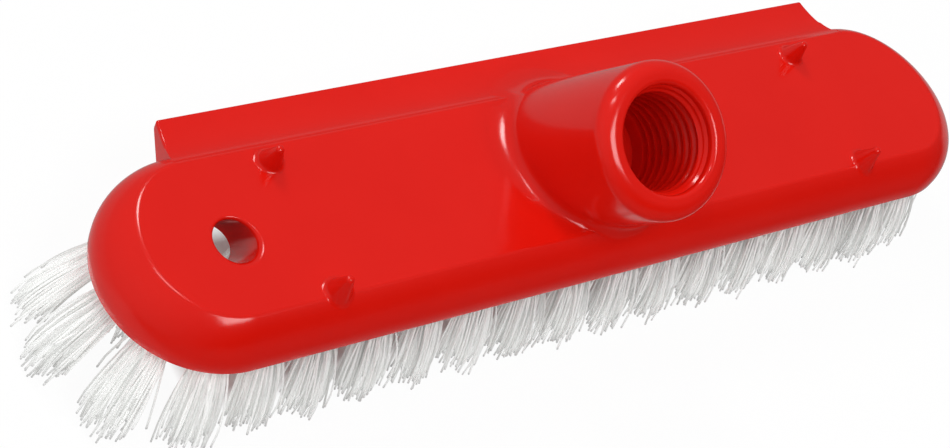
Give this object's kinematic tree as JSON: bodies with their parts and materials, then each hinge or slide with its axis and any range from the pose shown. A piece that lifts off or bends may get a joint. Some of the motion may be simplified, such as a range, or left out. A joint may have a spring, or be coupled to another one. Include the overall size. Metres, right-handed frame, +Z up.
{
  "type": "floor scrub brush head",
  "caption": "Floor scrub brush head: glossy moulded block with an angled threaded handle socket, a rear scraper lip, a hanging hole and flared bristle tufts.",
  "frame": {"origin": "on the plane of the trimmed bristle tips, under the middle of the block", "axes": "+X along the block, +Y towards the scraper lip, +Z up out of the block's top face; the handle socket leans 32.6 degrees from +Z towards -Y"},
  "size_m": [0.2412, 0.0618, 0.0651],
  "materials": {
    "block": "glossy red",
    "bristles": "translucent white filament"
  },
  "bodies": {
    "root": {"block": "block", "tuft_back_01": "bristles", "tuft_back_02": "bristles", "tuft_back_03": "bristles", "tuft_back_04": "bristles", "tuft_back_05": "bristles", "tuft_back_06": "bristles", "tuft_back_07": "bristles", "tuft_back_08": "bristles", "tuft_back_09": "bristles", "tuft_back_10": "bristles", "tuft_back_11": "bristles", "tuft_back_12": "bristles", "tuft_back_13": "bristles", "tuft_back_14": "bristles", "tuft_front_01": "bristles", "tuft_front_02": "bristles", "tuft_front_03": "bristles", "tuft_front_04": "bristles", "tuft_front_05": "bristles", "tuft_front_06": "bristles", "tuft_front_07": "bristles", "tuft_front_08": "bristles", "tuft_front_09": "bristles", "tuft_front_10": "bristles", "tuft_front_11": "bristles", "tuft_front_12": "bristles", "tuft_front_13": "bristles", "tuft_front_14": "bristles", "tuft_inner_back_01": "bristles", "tuft_inner_back_02": "bristles", "tuft_inner_back_03": "bristles", "tuft_inner_back_04": "bristles", "tuft_inner_back_05": "bristles", "tuft_inner_back_06": "bristles", "tuft_inner_back_07": "bristles", "tuft_inner_back_08": "bristles", "tuft_inner_back_09": "bristles", "tuft_inner_front_01": "bristles", "tuft_inner_front_02": "bristles", "tuft_inner_front_03": "bristles", "tuft_inner_front_04": "bristles", "tuft_inner_front_05": "bristles", "tuft_inner_front_06": "bristles", "tuft_inner_front_07": "bristles", "tuft_inner_front_08": "bristles", "tuft_inner_front_09": "bristles", "tuft_left_end_1": "bristles", "tuft_left_end_2": "bristles", "tuft_left_end_3": "bristles", "tuft_left_end_4": "bristles", "tuft_left_end_5": "bristles", "tuft_right_end_1": "bristles", "tuft_right_end_2": "bristles", "tuft_right_end_3": "bristles", "tuft_right_end_4": "bristles", "tuft_right_end_5": "bristles"}
  },
  "joints": []
}
